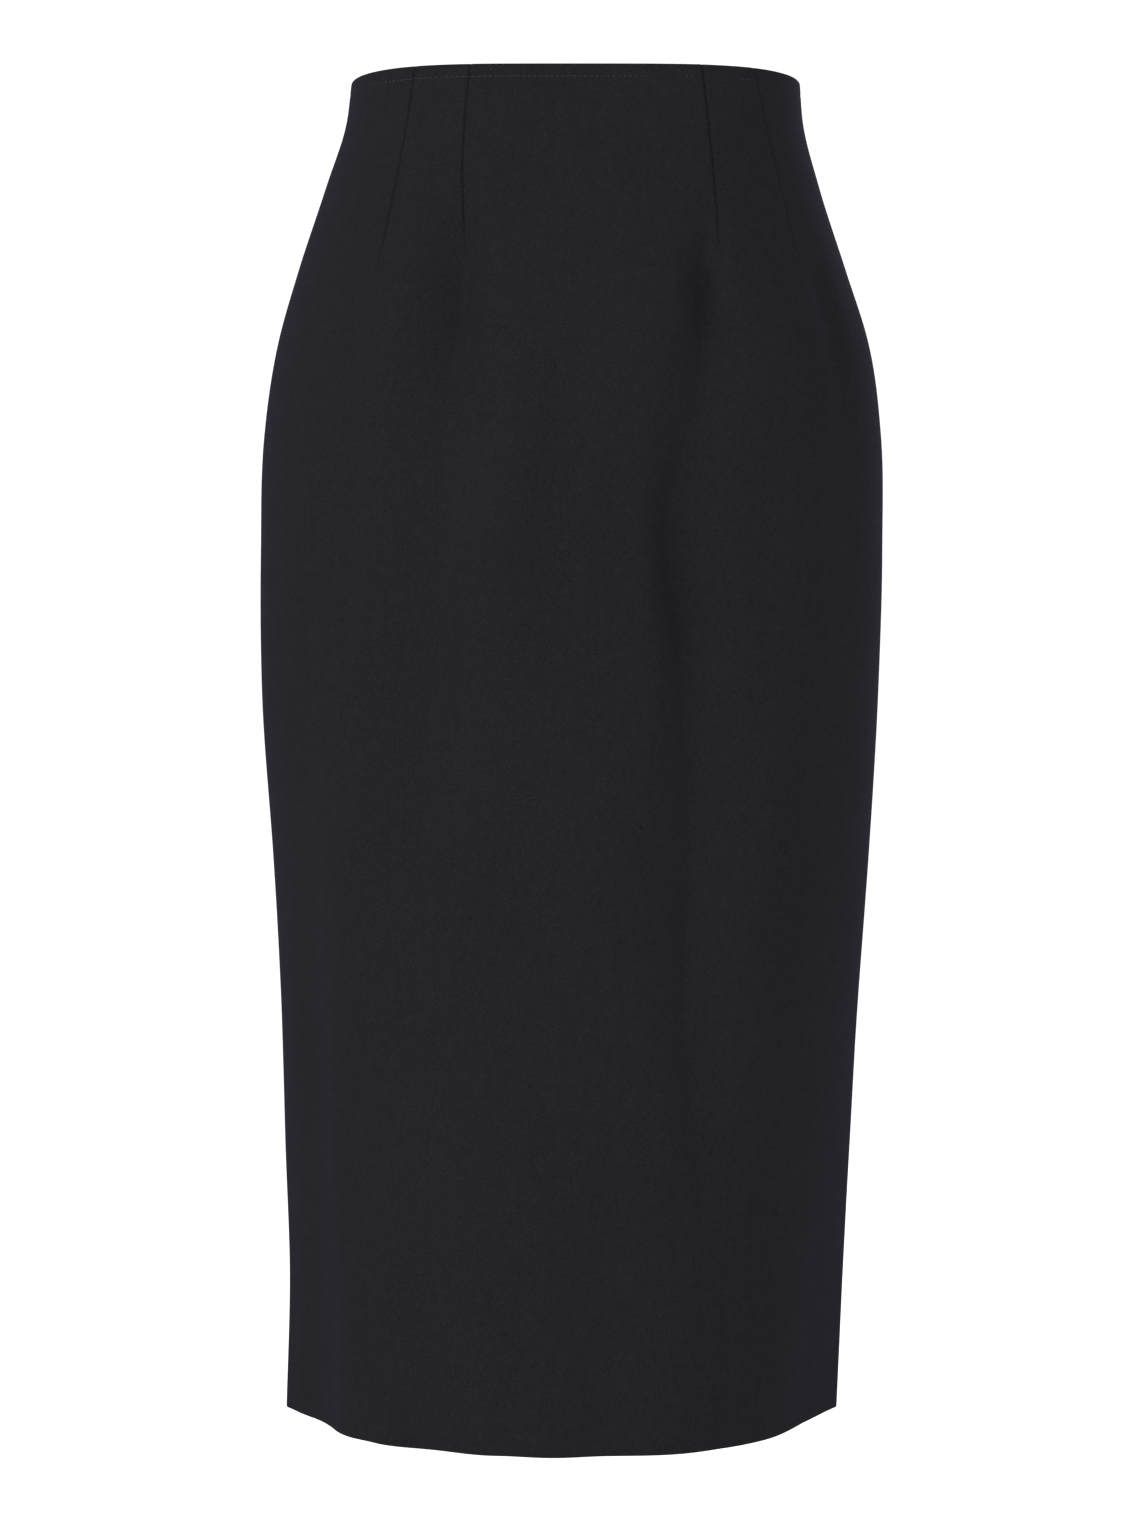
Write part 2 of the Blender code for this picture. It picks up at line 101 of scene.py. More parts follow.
# Outline of the filled skirt at each height: drop below the waist edge, half the width, its middle's
# place, depths to the front and to the back, shape of the quarters, and the cloth's turn round it.
SECTION_COLUMNS = ("drop", "half", "centre", "front", "back", "power", "pinch", "turn")
SECTIONS = (
    (0.000, 0.1210, 0.0004, 0.0857, 0.0810, 4.00, 0.50, 0.0063),
    (0.022, 0.1234, -0.0001, 0.0910, 0.0860, 3.60, 0.50, 0.0075),
    (0.055, 0.1331, -0.0012, 0.0990, 0.0965, 3.10, 0.50, 0.0095),
    (0.100, 0.1481, -0.0014, 0.1070, 0.1110, 2.70, 0.50, 0.0105),
    (0.140, 0.1602, -0.0008, 0.1125, 0.1215, 2.45, 0.50, 0.0102),
    (0.190, 0.1676, -0.0012, 0.1160, 0.1290, 2.35, 0.51, 0.0094),
    (0.250, 0.1692, -0.0018, 0.1175, 0.1310, 2.30, 0.52, 0.0080),
    (0.330, 0.1682, -0.0026, 0.1165, 0.1270, 2.35, 0.55, 0.0058),
    (0.420, 0.1630, -0.0021, 0.1140, 0.1190, 2.50, 0.62, 0.0034),
    (0.500, 0.1584, -0.0030, 0.1110, 0.1115, 2.75, 0.74, 0.0014),
    (0.580, 0.1554, -0.0041, 0.1085, 0.1055, 3.10, 0.88, 0.0000),
    (0.650, 0.1527, -0.0048, 0.1070, 0.1015, 3.35, 1.04, 0.0000),
    (LENGTH, 0.1522, -0.0074, 0.1056, 0.0985, 3.55, 1.22, 0.0000),
)
SIDE_NOSE = 0.0020  # half the outline's depth at its sides
QUARTER_POINTS = 400

# Darts: arcs of the line at the waist edge and the tip, its bow, the tip's drop and the line's depth.
DART_COLUMNS = ("panel", "at_top", "at_tip", "bow", "tip", "groove")
DARTS = (
    ("front", -0.0914, -0.1165, -0.05, 0.110, 0.0010),
    ("front", -0.0607, -0.0668, 0.42, 0.102, 0.0010),
    ("front", 0.0592, 0.0668, 0.06, 0.102, 0.0010),
    ("front", 0.0893, 0.1175, 0.03, 0.108, 0.0006),
    ("back_left", -0.0900, -0.1010, 0.08, 0.115, 0.0009),
    ("back_left", -0.0570, -0.0640, 0.14, 0.130, 0.0009),
    ("back_right", 0.0570, 0.0640, 0.05, 0.130, 0.0009),
    ("back_right", 0.0900, 0.1010, -0.04, 0.115, 0.0009),
)
DART_HALF_WIDTH = 0.0014
DART_FADE = 0.018
DART_PUCKER = 0.00020
DART_PUCKER_LENGTH = 0.0074
DART_PUCKER_REACH = 0.0032
DART_PUCKER_SHIFT = 1.7  # from one dart to the next, in radians
DART_PUCKER_WANDER = (3.0, 31.0)  # how unevenly they follow each other: radians, and radians a metre
DART_INTAKE = 0.012  # width of the fold inside at the waist edge
DART_PRESS = 0.00025  # how far that fold shows through
DART_PRESS_ENDS = (0.0012, 0.0040)  # lengths over which this begins at the line and ends past the fold
DART_STATIONS = (0.3, 0.65, 1.0, 1.6, 2.4)  # columns beside a dart's line, in half widths
DART_FOLD_GAP = 0.0015  # least distance from these to the columns of the fold's edge
BELOW_DART = 0.050  # length over which those columns spread out below its tip
BELOW_DART_SPREAD = 2.2

# Folds in millimetres, the main ones first: soft troughs, with a depth below 0, and ridges. "start",
# "peak" and "end" are drops, and the "at" columns are arcs there from the centre front or back.
FOLD_COLUMNS = ("start", "peak", "end", "at_start", "at_peak", "at_end", "half_width", "depth")
FRONT_FOLDS = (
    (70, 200, 560, 62, 53, 70, 30, -4.2),
    (40, 150, 400, -69, -64, -62, 24, -3),
    (70, 125, 230, 122, 138, 152, 15, -2.2),
    (380, 720, 900, -130, -128, -128, 22, 2.2),
    (430, 740, 900, -74, -70, -70, 36, -5.4),
    (380, 740, 900, -4, -4, -4, 30, 3.8),
    (440, 740, 900, 110, 116, 116, 32, 3.8),
    (60, 170, 480, -37, -39, -52, 31, 4.6),
    (90, 150, 330, -120, -128, -136, 14, -0.8),
    (300, 460, 700, 4, 10, 14, 30, 0.9),
    (330, 470, 690, -36, -40, -46, 24, -0.8),
    (70, 160, 360, -100, -104, -110, 22, 1.4),
    (220, 330, 520, -112, -116, -122, 26, 1.8),
    (300, 640, 1400, -159, -162, -162, 26, -2.4),
    (200, 420, 640, -134, -135, -133, 26, 2.6),
    (460, 740, 1400, 142, 142, 142, 20, 1.2),
    (460, 740, 1400, 111, 111, 111, 22, -1.5),
    (90, 280, 560, 118, 120, 122, 36, 3),
    (500, 740, 900, 56, 60, 60, 30, 1),
)
BACK_FOLDS = (
    (120, 260, 520, -60, -66, -72, 32, -3.6),
    (135, 235, 480, 64, 59, 66, 28, -3.2),
    (460, 740, 900, -86, -82, -82, 36, -3.2),
    (430, 740, 900, 92, 88, 88, 38, -3.6),
    (100, 150, 320, 108, 118, 130, 13, -1),
    (110, 170, 340, -106, -116, -130, 14, -1.1),
    (300, 430, 560, -30, -34, -40, 22, -0.8),
    (280, 400, 540, 26, 30, 36, 20, 0.7),
)

# Creases in millimetres: a side, a sharpness from 0 to 1, and rows along the line of a valley whose walls
# towards lower and higher arcs have widths of their own.
CREASE_COLUMNS = ("drop", "at", "depth", "low_wall", "high_wall")
CREASES = (
    ("front", 1.0, (  # from the inner right dart down over the thigh
        (75, 60, 0, 8, 10),
        (94, 59, 3.6, 12, 14),
        (113, 58.5, 8.8, 14, 16),
        (135, 59, 8.3, 16, 20),
        (156, 58.5, 5.4, 20, 26),
        (178, 56, 3.8, 22, 28),
        (200, 50, 3.6, 24, 30),
        (226, 42.5, 5.8, 15, 34),
        (260, 44.5, 8, 13, 36),
        (300, 52.5, 8.2, 15, 40),
        (340, 56.5, 7.6, 22, 43),
        (385, 60.5, 8.6, 40, 44),
        (440, 60.5, 8.4, 36, 42),
        (500, 61.5, 6.6, 26, 40),
        (550, 67, 4.4, 19, 36),
        (600, 72, 1.8, 15, 34),
        (640, 74, 0, 12, 30),
    )),
    ("front", 0.5, (  # from the inner left dart down over the other thigh
        (55, -65.5, 0, 22, 12),
        (86, -67.5, 4.6, 26, 16),
        (118, -70.5, 7.8, 30, 20),
        (150, -74.5, 7.6, 34, 23),
        (190, -78.5, 6.2, 40, 25),
        (260, -80, 6.6, 44, 24),
        (330, -84, 7.2, 44, 28),
        (400, -86, 6.8, 44, 40),
        (480, -88, 4.4, 44, 44),
        (560, -90, 1.6, 44, 44),
        (620, -90, 0, 44, 44),
    )),
    ("front", 0.6, (  # drag line from the outer right dart to the side seam
        (60, 112, 0, 10, 10),
        (90, 120.5, 0.8, 14, 14),
        (122, 132.5, 1.5, 18, 18),
        (142, 138.5, 1, 17, 18),
        (168, 144, 0, 14, 20),
    )),
    ("back", 0.6, (  # from the inner left dart over the seat
        (120, -60, 0, 10, 18),
        (180, -63, 1.6, 11, 24),
        (260, -70, 2.2, 12, 32),
        (360, -74, 1.4, 14, 36),
        (480, -76, 0, 16, 40),
    )),
    ("back", 0.6, (  # from the inner right dart over the seat
        (125, 64, 0, 18, 10),
        (175, 62, 1.8, 24, 10),
        (235, 58, 2, 28, 11),
        (320, 60, 1.2, 32, 14),
        (430, 66, 0, 36, 16),
    )),
    ("back", 0.6, (  # drag line over the right hip
        (80, 118, 0, 12, 6),
        (130, 130, 1.6, 14, 6),
        (230, 144, 0, 18, 10),
    )),
)
CREASE_ROUNDING = 0.0010  # half the width over which a crease's line is rounded
CREASE_BOW = 1.5  # how much a sharp crease's walls flatten away from its line
CREASE_NEAR_DART = 0.022  # a crease that starts so near a dart's tip carries on from it
CREASE_JOIN = 0.035  # length over which the dart's columns join it
CREASE_LEAVE = (0.030, 0.100)  # and leave it: from so far above its end, over that length
UNEVEN = ((0.090, 0.00018), (0.040, 0.00009), (0.016, 0.00004))  # size and depth of unevenness
UNEVEN_DOWN = 0.45  # how fast it changes downwards against sideways
UNEVEN_ENDS = 0.050  # length from the waist edge and the hem over which it sets in
UNEVEN_HEM_LOSS = 0.5  # share of it that is gone at the hem

# Rows of the panels: each band ends at a drop and has rows about so far apart.
ROW_BANDS = (
    (TOP_TURNING - TURNING_EDGE / 2, 0.0009),
    (TOP_TURNING + TURNING_EDGE / 2, TURNING_EDGE / 2),
    (0.0150, 0.0024),
    (0.0162, 0.0012),
    (0.0226, 0.0022),
    (0.0250, 0.0024),
    (0.135, 0.0026),
    (VENT_TOP, 0.0045),
    (VENT_TOP + VENT_STEP, 0.0018),
    (LENGTH - HEM_TURNING - TURNING_EDGE / 2, 0.0045),
    (LENGTH - HEM_TURNING + TURNING_EDGE / 2, TURNING_EDGE / 2),
    (LENGTH - PLY, 0.0045),
)
COLUMN_STEP = 0.0034
WIDEST_DROP = 0.250
ROUNDING_STEPS = 4
RIM_STEPS = 6  # faces round a turned edge

STITCH_DROP = 0.0068  # topstitching below the waist edge
STITCH_PITCH = 0.0029
STITCH_GAP = 0.0006
STITCH_FROM_SIDE = 0.0016  # the row's ends from a side seam and from the zip
STITCH_FROM_ZIP = 0.0030
STITCH_SINK = (  # arc, how far the thread's tension pulls the stitches into the cloth
    (-0.160, 0.00028),
    (-0.120, 0.00022),
    (-0.096, 0.00004),
    (0.000, 0.00004),
    (0.026, 0.00018),
    (0.050, 0.00036),
)
STITCH_UNEVEN = ((0.63, 0.00006), (0.21, 0.00005), (12.9, 0.00003))  # turns a stitch, and depth
THREAD_RADIUS = 0.00019
ROUND_SIDES = 6  # faces round a thread or a coil's wire
STITCH_GROOVE = 0.00022
STITCH_GROOVE_HALF_WIDTH = 0.0012


# ---- The filled outline ----
def table(columns, rows):
    """Rows of a table as dictionaries by column name."""
    return [dict(zip(columns, row)) for row in rows]


SECTION_ROWS = dict(zip(SECTION_COLUMNS, np.array(SECTIONS).T))
FOLD_ROWS = {side: table(FOLD_COLUMNS, np.array(rows) / MILLIMETRES)
             for side, rows in (("front", FRONT_FOLDS), ("back", BACK_FOLDS))}
CREASE_ROWS = [(side, sharp, dict(zip(CREASE_COLUMNS, np.array(rows).T / MILLIMETRES)))
               for side, sharp, rows in CREASES]
DART_ROWS = table(DART_COLUMNS, DARTS)


def smooth_through(drops, values, drop):
    """A value at any drop, by a smooth cubic through values at known drops."""
    slopes = np.gradient(values, drops)
    drop = min(max(drop, drops[0]), drops[-1])
    i = min(np.searchsorted(drops, drop, side="right") - 1, len(values) - 2)
    step = drops[i + 1] - drops[i]
    t = (drop - drops[i]) / step
    return ((1 + 2 * t) * (1 - t) ** 2 * values[i] + t * (1 - t) ** 2 * step * slopes[i]
            + t * t * (3 - 2 * t) * values[i + 1] - t * t * (1 - t) * step * slopes[i + 1])


def section(name, drop):
    """One column of SECTIONS at any drop."""
    return smooth_through(SECTION_ROWS["drop"], SECTION_ROWS[name], drop)


class Ring:
    """The skirt's outline at one height, measured by arc from the centre front towards +X."""

    def __init__(self, drop):
        self.centre = section("centre", drop)
        self.turn = section("turn", drop)
        half, power, pinch = (section(name, drop) for name in ("half", "power", "pinch"))
        u = np.sin(np.linspace(0.0, math.pi / 2, QUARTER_POINTS))
        bow = np.clip(1 - u ** power, 0.0, None) ** pinch
        front = np.stack([half * u, -SIDE_NOSE - (section("front", drop) - SIDE_NOSE) * bow], axis=1)
        back = np.stack([half * u, SIDE_NOSE + (section("back", drop) - SIDE_NOSE) * bow], axis=1)
        points = np.concatenate([front, [[half, 0.0]], back[::-1]])
        arcs = np.concatenate([[0.0], np.cumsum(np.linalg.norm(np.diff(points, axis=0), axis=1))])
        self.points, self.arcs = points, arcs
        self.front = arcs[QUARTER_POINTS]
        self.back = arcs[-1] - self.front

    def places(self, arcs):
        """Points on the outline at arcs from its centre front."""
        whole = 2 * self.arcs[-1]
        arcs = (arcs + whole / 2) % whole - whole / 2
        x = np.sign(arcs) * np.interp(np.abs(arcs), self.arcs, self.points[:, 0])
        return np.stack([self.centre + x, np.interp(np.abs(arcs), self.arcs, self.points[:, 1])], axis=1)

    def outward(self, arcs):
        """Level directions out of the cloth."""
        reach = 0.0012
        along = self.places(arcs + reach) - self.places(arcs - reach)
        along /= np.linalg.norm(along, axis=1)[:, None]
        return np.stack([along[:, 1], -along[:, 0]], axis=1)


@functools.cache
def ring_at(drop):
    return Ring(drop)


def ease(t):
    """0 to 1 with level ends."""
    t = np.clip(t, 0.0, 1.0)
    return t * t * (3 - 2 * t)


def bell(t):
    """1 in the middle, 0 at one and past it, with level ends."""
    return 0.5 * (1 + np.cos(math.pi * np.clip(np.abs(t), 0.0, 1.0)))


def fold_depth(side, arcs, drop):
    """How far the folds move the cloth out, at arcs from the centre front or back."""
    total = np.zeros_like(arcs)
    for fold in FOLD_ROWS[side]:
        if not fold["start"] < drop < fold["end"]:
            continue
        if drop < fold["peak"]:
            strength = ease((drop - fold["start"]) / (fold["peak"] - fold["start"]))
        else:
            strength = ease((fold["end"] - drop) / (fold["end"] - fold["peak"]))
        middle = np.interp(drop, [fold["start"], fold["peak"], fold["end"]],
                           [fold["at_start"], fold["at_peak"], fold["at_end"]])
        total += fold["depth"] * strength * bell((arcs - middle) / fold["half_width"])
    for crease_side, sharp, crease in CREASE_ROWS:
        if crease_side != side or not crease["drop"][0] < drop < crease["drop"][-1]:
            continue
        line, depth, low_wall, high_wall = (smooth_through(crease["drop"], crease[name], drop)
                                            for name in CREASE_COLUMNS[1:])
        across = arcs - line
        away = np.sqrt(across ** 2 + CREASE_ROUNDING ** 2) - CREASE_ROUNDING
        share = np.clip(away / np.where(across < 0, low_wall, high_wall), 0.0, 1.0)
        total -= max(depth, 0.0) * (sharp * (1 - share) ** CREASE_BOW + (1 - sharp) * bell(share))
    return total


def unevenness(places, drop):
    """Slight waviness of pressed cloth, held straight at the waist edge and less free at the hem."""
    near_hem = ease((drop - LENGTH + UNEVEN_ENDS) / UNEVEN_ENDS)
    free = ease(drop / UNEVEN_ENDS) * (1 - UNEVEN_HEM_LOSS * near_hem)
    return np.array([free * sum(depth * noise.noise(Vector((x, y, -UNEVEN_DOWN * drop)) / size)
                                for size, depth in UNEVEN) for x, y in places])


def cloth_points(side, arcs, drop, outward=0.0):
    """Points at arcs from the centre front or back, so far out of the skirt's outer face."""
    arcs = np.asarray(arcs, dtype=float)
    ring = ring_at(drop)
    around = arcs + ring.turn + (ring.front + ring.back if side == "back" else 0.0)
    level, out = ring.places(around), ring.outward(around)
    out_by = fold_depth(side, arcs, drop) + unevenness(level, drop) + outward
    level = level + out * out_by[:, None]
    return np.concatenate([level, np.full((len(arcs), 1), -drop)], axis=1)


# ---- Columns and rows of a panel ----
def row_drops(bands, first):
    """Drops of the rows from the first one down."""
    drops = [first]
    for end, step in bands:
        start = drops[-1]
        count = max(1, round((end - start) / step))
        drops += [start + (end - start) * (k + 1) / count for k in range(count)]
    return drops


def quarter_arc(panel, drop):
    return ring_at(drop).front if panel == "front" else ring_at(drop).back


def zip_half_gap(drop):
    return np.interp(drop, *zip(*PARTED_EDGES))


def panel_edges(panel, drop):
    """Arcs of a panel's two sewn edges."""
    side = quarter_arc(panel, drop) + SEAM_MEET
    if panel == "front":
        return -side, side
    if panel == "back_left":
        return -side, -zip_half_gap(drop)
    return zip_half_gap(drop), side


def darts_of(panel):
    return [dart for dart in DART_ROWS if dart["panel"] == panel]


def crease_below(dart):
    """The crease that carries on from a dart's tip, if there is one."""
    for side, _, crease in CREASE_ROWS:
        start = np.interp(dart["tip"], crease["drop"], crease["at"])
        if dart["panel"].startswith(side) and abs(start - dart["at_tip"]) < CREASE_NEAR_DART:
            return crease
    return None


def dart_arc(dart, drop):
    """Arc of a dart's line, which runs on below its tip as a column, along a crease if it can."""
    if drop < dart["tip"]:
        down = drop / dart["tip"]
        bowed = down + 4 * dart["bow"] * down * (1 - down)
        return dart["at_top"] + (dart["at_tip"] - dart["at_top"]) * bowed
    panel, crease = dart["panel"], crease_below(dart)
    line = dart["at_tip"] * quarter_arc(panel, drop) / quarter_arc(panel, dart["tip"])
    if crease is None:
        return line
    before, length = CREASE_LEAVE
    left = ease((drop - crease["drop"][-1] + before) / length)
    joined = ease((drop - dart["tip"]) / CREASE_JOIN) * (1 - left)
    return line + (smooth_through(crease["drop"], crease["at"], drop) - line) * joined


def intake_width(dart, drop):
    """Width of a dart's fold inside the skirt."""
    return DART_INTAKE * max(0.0, 1 - drop / dart["tip"])


def pair(distance):
    """Two columns or rows that carry the step of a turning's raw edge."""
    return [distance - TURNING_EDGE / 2, distance + TURNING_EDGE / 2]


def edge_stations(turnings):
    """Distances from a sewn edge at which a panel has columns: its rounding, then its turnings."""
    stations = [PLY * (1 - math.cos(math.pi / 2 * k / ROUNDING_STEPS)) for k in range(ROUNDING_STEPS + 1)]
    return stations + [d for turning in turnings for d in pair(turning)]


def dart_stations(dart, drop):
    line = dart_arc(dart, drop)
    loose = ease((drop - dart["tip"]) / BELOW_DART)
    spread = DART_HALF_WIDTH * (1 + (BELOW_DART_SPREAD - 1) * loose)
    fold = max(intake_width(dart, drop), DART_STATIONS[-1] * spread + DART_FOLD_GAP)
    towards_centre = -math.copysign(1.0, line)
    beside = [line + sign * spread * k for k in DART_STATIONS for sign in (-1, 1)]
    return [line] + beside + [line + towards_centre * d for d in pair(fold)]


def column_stations(panel, drop):
    """Arcs that a panel's columns follow at one height, in order."""
    low, high = panel_edges(panel, drop)
    side = edge_stations([SIDE_TURNING])
    centre = edge_stations([TAPE_FROM_CENTRE + TAPE_WIDTH + TAPE_CLEAR, CENTRE_TURNING])
    if panel == "front":
        arcs = [low + d for d in side] + [high - d for d in side]
    elif panel == "back_left":
        arcs = [low + d for d in side] + [high - d for d in centre + pair(VENT_FACING)]
    else:
        arcs = [low + d for d in centre] + [high - d for d in side]
        arcs += [low - VENT_UNDERLAP * share for share in UNDERLAP_EDGE]
    for dart in darts_of(panel):
        arcs += dart_stations(dart, drop)
    return sorted(arcs)


def column_counts(panel):
    """Even steps from each of a panel's stations to the next."""
    stations = column_stations(panel, WIDEST_DROP)
    return [max(1, round((b - a) / COLUMN_STEP)) for a, b in zip(stations, stations[1:])]


def column_arcs(panel, drop, counts):
    stations = column_stations(panel, drop)
    arcs = [stations[0]]
    for a, b, count in zip(stations, stations[1:], counts):
        arcs += [a + (b - a) * (k + 1) / count for k in range(count)]
    return np.array(arcs)


# ---- Relief of a panel: darts, vent, stitched line, turnings ----
def inside(distance):
    """1 on a turning, 0 past its raw edge, at a distance in from that edge."""
    return np.clip(0.5 + distance / TURNING_EDGE, 0.0, 1.0)


def edge_distances(panel, arcs, drop):
    """Distances to the panel's side seam (the nearer one) and to its centre-back edge."""
    low, high = panel_edges(panel, drop)
    if panel == "front":
        return np.minimum(arcs - low, high - arcs), np.full_like(arcs, np.inf)
    if panel == "back_left":
        return arcs - low, high - arcs
    return high - arcs, arcs - low


def plies(panel, arcs, drop):
    """How many thicknesses of cloth lie on each other."""
    from_side, from_centre = edge_distances(panel, arcs, drop)
    extra = [inside(TOP_TURNING - drop) * np.ones_like(arcs),
             inside(drop - LENGTH + HEM_TURNING) * np.ones_like(arcs),
             inside(SIDE_TURNING - from_side)]
    at_vent = ease((drop - VENT_TOP) / VENT_STEP)
    under_tape = inside(TAPE_FROM_CENTRE + TAPE_WIDTH + TAPE_CLEAR - from_centre)
    below_zip = ease((drop - ZIP_END - TAPE_PAST_CHAIN) / PLY_FADE)
    beside_zip = 1 - under_tape * (1 - below_zip)
    extra.append(inside(CENTRE_TURNING - from_centre) * beside_zip * (1 - at_vent))
    if panel == "back_left":
        extra.append(inside(VENT_FACING - from_centre) * inside(drop - VENT_TOP))
    for dart in darts_of(panel):
        line = dart_arc(dart, drop)
        width = intake_width(dart, drop)
        inward = (line - arcs) * math.copysign(1.0, line)
        extra.append(inside(inward) * inside(width - inward) * ease(width / PLY_FADE))
    return 1 + np.max(extra, axis=0)


def relief(panel, arcs, drop):
    """How far the outer face lies below the form: sewn lines, pressed folds and the vent's step."""
    depth = STITCH_GROOVE * bell((drop - STITCH_DROP) / STITCH_GROOVE_HALF_WIDTH) * np.ones_like(arcs)
    wander, wander_rate = DART_PUCKER_WANDER
    begins, ends = DART_PRESS_ENDS
    for k, dart in enumerate(darts_of(panel)):
        if drop >= dart["tip"]:
            continue
        line = dart_arc(dart, drop)
        fade = min(1.0, (dart["tip"] - drop) / DART_FADE)
        across = np.abs(arcs - line)
        depth += dart["groove"] * fade * np.clip(1 - across / DART_HALF_WIDTH, 0.0, 1.0) ** 2
        wave = math.sin(math.tau * drop / DART_PUCKER_LENGTH + DART_PUCKER_SHIFT * k
                        + wander * math.sin(wander_rate * drop))
        depth += DART_PUCKER * fade * wave * np.exp(-(across / DART_PUCKER_REACH) ** 2)
        inward = (line - arcs) * math.copysign(1.0, line)
        width = intake_width(dart, drop)
        shows = ease(inward / begins) * (1 - ease((inward - width + ends / 2) / ends))
        depth -= DART_PRESS * fade * shows
    if panel == "back_right":
        down = ease((drop - VENT_TOP) / VENT_STEP)
        depth += VENT_DEPTH * down * ease((VENT_STEP - arcs) / VENT_RAMP)
    return depth


def edge_rounding(panel, arcs, drop):
    """How far the cloth has rolled into a sewn or turned edge, 0 to 1."""
    from_side, from_centre = edge_distances(panel, arcs, drop)
    if panel == "back_right":
        from_centre = from_centre + PLY * ease((drop - VENT_TOP) / VENT_STEP)
    near = 1 - np.clip(np.minimum(from_side, from_centre) / PLY, 0.0, 1.0)
    return 1 - np.sqrt(1 - near ** 2)


def face_depths(panel, arcs, drop):
    """Depths of the outer and the inner face below the smooth form."""
    thickness = PLY * plies(panel, arcs, drop)
    rolled = edge_rounding(panel, arcs, drop)
    # Sewn edges close half a ply in, the vent's folded edge in its middle.
    share = 0.5 if panel == "back_left" and drop > VENT_TOP else PLY / 2 / thickness
    outer = relief(panel, arcs, drop)
    inner = outer + thickness * (1 - EDGE_CLOSES * (1 - share) * rolled)
    return outer + thickness * share * rolled, inner


# ---- Mesh tools ----
def in_scene(name, data):
    """A new object in the scene from its data."""
    thing = bpy.data.objects.new(name, data)
    bpy.context.scene.collection.objects.link(thing)
    return thing


def finished(mesh, material, sharp=None):
    """A mesh as a smooth piece in its finish, with the edges over an angle left sharp."""
    mesh.materials.append(material)
    mesh.shade_smooth()
    if sharp:
        mesh.set_sharp_from_angle(angle=sharp)
    return in_scene(mesh.name, mesh)


def new_piece(name, shell, material):
    """A piece made of the points that the shell's faces use."""
    kept = sorted({i for face in shell.faces for i in face})
    place = {i: k for k, i in enumerate(kept)}
    mesh = bpy.data.meshes.new(name)
    faces = [tuple(place[i] for i in face) for face in shell.faces]
    mesh.from_pydata([shell.points[i] for i in kept], [], faces)
    return finished(mesh, material)


class Shell:
    """Points and faces of a closed wall between an outer and an inner grid, row by row."""

    def __init__(self):
        self.points, self.faces = [], []

    def add_row(self, points):
        first = len(self.points)
        self.points.extend(points)
        return range(first, first + len(points))

    def strip(self, upper, lower, columns):
        """Faces between two rows, facing out when the first is the higher row of the outer face."""
        self.faces += [(upper[c], lower[c], lower[c + 1], upper[c + 1]) for c in columns]

    def wall(self, outer, inner, k, first, last):
        """Both faces and both edges from row k to the next, between two columns."""
        self.strip(outer[k], outer[k + 1], range(first, last))
        self.strip(inner[k + 1], inner[k], range(first, last))
        for c, near, far in ((first, inner, outer), (last, outer, inner)):
            self.faces.append((near[k][c], near[k + 1][c], far[k + 1][c], far[k][c]))


def cloth_shell(name, material):
    """One cut panel as a closed thin wall with rolled edges at the waist, the hem and the seams."""
    side = name.split("_")[0]
    drops = row_drops(ROW_BANDS, PLY)
    counts = column_counts(name)
    shell = Shell()
    outer, inner = [], []
    for drop in drops:
        arcs = column_arcs(name, drop, counts)
        out_by, in_by = face_depths(name, arcs, drop)
        outer.append(shell.add_row(cloth_points(side, arcs, drop, -out_by)))
        inner.append(shell.add_row(cloth_points(side, arcs, drop, -in_by)))

    # The right back starts at its sewn edge, and from the vent down at the underlap's free edge.
    last = len(outer[0]) - 1
    under = 0
    if name == "back_right":
        low = panel_edges(name, VENT_TOP)[0]
        under = np.argmin(np.abs(column_arcs(name, VENT_TOP, counts) - low))
    vent_row = next(k for k, drop in enumerate(drops) if drop > VENT_TOP + VENT_STEP / 3)
    for k in range(len(drops) - 1):
        shell.wall(outer, inner, k, 0 if k >= vent_row else under, last)
    if under:
        shell.strip(inner[vent_row], outer[vent_row], range(under))

    # The waist edge and the hem roll over in half a circle.
    for k, sign, first in ((0, 1, under), (len(drops) - 1, -1, 0)):
        rim = [outer[k]]
        face, back = (np.array([shell.points[i] for i in row[k]]) for row in (outer, inner))
        middle, reach = (face + back) / 2, (face - back) / 2
        half = np.linalg.norm(reach, axis=1)[:, None]
        for step in range(1, RIM_STEPS):
            turn = math.pi * step / RIM_STEPS
            rise = np.array([[0.0, 0.0, sign * math.sin(turn)]]) * np.minimum(half, PLY)
            rim.append(shell.add_row(middle + reach * math.cos(turn) + rise))
        rim.append(inner[k])
        for a, b in zip(rim, rim[1:]):
            upper, lower = (b, a) if sign > 0 else (a, b)
            shell.strip(upper, lower, range(first, last))
        for c, order in ((first, sign), (last, -sign)):
            end = [row[c] for row in rim]
            shell.faces.append(tuple(end if order > 0 else reversed(end)))
    return new_piece(name + "_cloth", shell, material)


